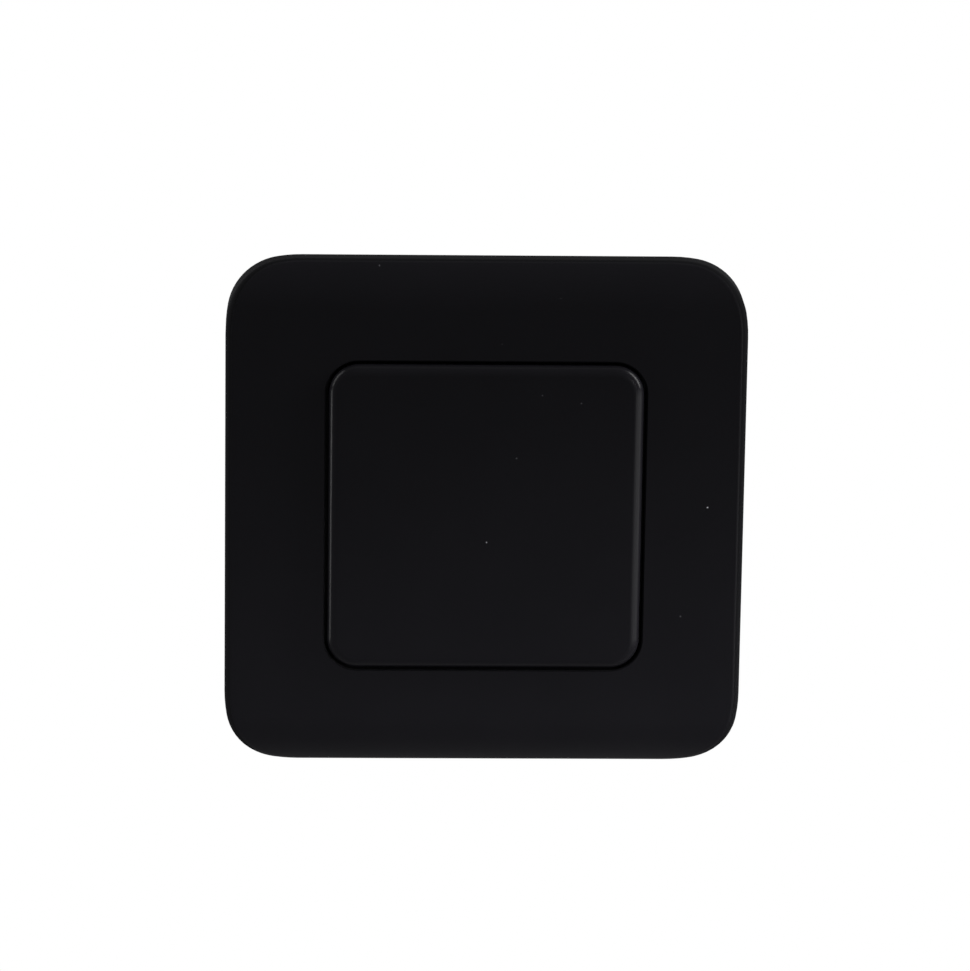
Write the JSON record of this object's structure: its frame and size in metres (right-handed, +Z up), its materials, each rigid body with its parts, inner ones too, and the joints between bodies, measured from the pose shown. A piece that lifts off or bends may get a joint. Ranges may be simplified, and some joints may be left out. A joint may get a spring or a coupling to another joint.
{
  "type": "wireless wall switch",
  "caption": "Square battery-powered wall switch: a soft-cornered frame around one see-saw rocker that presses hidden push switches, on a wall-mounted rear housing.",
  "frame": {"origin": "centre of the rear housing's back, on the wall", "axes": "+Z up the wall, +Y into the wall, +X to the right as seen from the room; the front faces -Y"},
  "size_m": [0.08, 0.0102, 0.08],
  "materials": {
    "black_plastic": "fine matte grain",
    "housing_plastic": "matte",
    "board_laminate": "solder mask",
    "cell_steel": "brushed",
    "plated_contact": "tin plated",
    "screw_steel": "zinc plated",
    "switch_plastic": "matte",
    "switch_cover": "satin",
    "plunger_plastic": "natural",
    "dome_rubber": "silicone",
    "chip_resin": "matte",
    "chip_ceramic": "glazed",
    "tank_resin": "matte",
    "capacitor_ceramic": "matte"
  },
  "bodies": {
    "base": {"front_frame": "black_plastic", "rocker_carrier": "housing_plastic", "rear_housing": "housing_plastic", "circuit_board": "board_laminate", "coin_cell": "cell_steel", "negative_contact": "plated_contact", "battery_clip": "plated_contact", "carrier_screws": "screw_steel", "upper_tact_base": "switch_plastic", "upper_tact_cover": "switch_cover", "upper_return_dome": "dome_rubber", "upper_tact_terminals": "plated_contact", "lower_tact_base": "switch_plastic", "lower_tact_cover": "switch_cover", "lower_return_dome": "dome_rubber", "lower_tact_terminals": "plated_contact", "radio_chip": "chip_resin", "crystal": "switch_cover", "chip_antenna": "chip_ceramic", "tank_capacitor": "tank_resin", "chip_capacitors": "capacitor_ceramic", "chip_resistors": "chip_resin"},
    "rocker": {"rocker": "black_plastic"},
    "upper_plunger": {"upper_plunger": "plunger_plastic"},
    "lower_plunger": {"lower_plunger": "plunger_plastic"}
  },
  "joints": [
    {"name": "rocker_tilt", "type": "hinge", "parent": "base", "child": "rocker", "pos_m": [0, -0.0062, 0], "axis": [1, 0, 0], "range_deg": [-2, 2], "stiffness_Nm_per_rad": 0.4},
    {"name": "upper_press", "type": "slide", "parent": "base", "child": "upper_plunger", "axis": [0, 1, 0], "range_m": [-0.00055, 0.00055], "deforming": ["upper_return_dome"]},
    {"name": "lower_press", "type": "slide", "parent": "base", "child": "lower_plunger", "axis": [0, 1, 0], "range_m": [-0.00055, 0.00055], "deforming": ["lower_return_dome"]}
  ],
  "couplings": [
    {"joint": "upper_press", "follows": "rocker_tilt", "m_per_rad": -0.0154},
    {"joint": "lower_press", "follows": "rocker_tilt", "m_per_rad": 0.0154}
  ]
}
